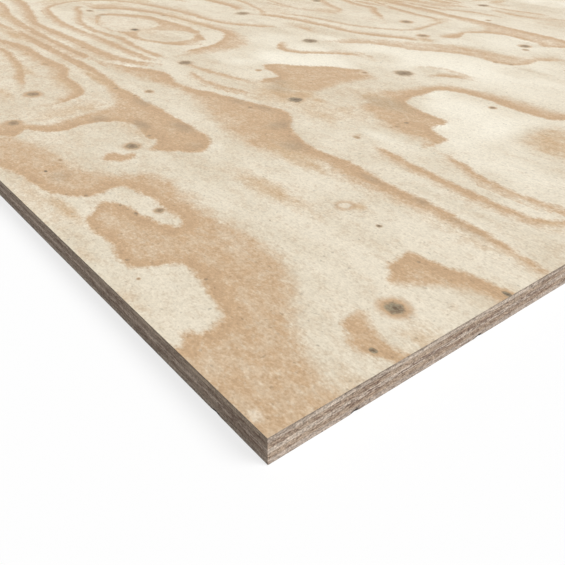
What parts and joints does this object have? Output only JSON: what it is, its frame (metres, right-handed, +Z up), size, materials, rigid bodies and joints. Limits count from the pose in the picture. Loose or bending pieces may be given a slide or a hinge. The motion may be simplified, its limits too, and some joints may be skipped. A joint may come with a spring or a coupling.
{
  "type": "plywood sheet",
  "caption": "Flat rectangular softwood plywood sheet with a sanded pine face and cross-laid plies showing on its square-trimmed edges.",
  "frame": {"origin": "centre of the underside, on the floor that the sheet lies on", "axes": "+X across the sheet, +Y along its length and its face grain, +Z up through its thickness, out of the better face"},
  "size_m": [1.22, 2.44, 0.018],
  "materials": {
    "sanded_face": "sanded, unfinished, matt",
    "crossband": "sawn end grain, matt",
    "core": "sawn, matt",
    "back_face": "sanded, unfinished, matt"
  },
  "bodies": {
    "root": {"back_veneer": "back_face", "lower_crossband": "crossband", "core_veneer": "core", "upper_crossband": "crossband", "face_veneer": "sanded_face"}
  },
  "joints": []
}
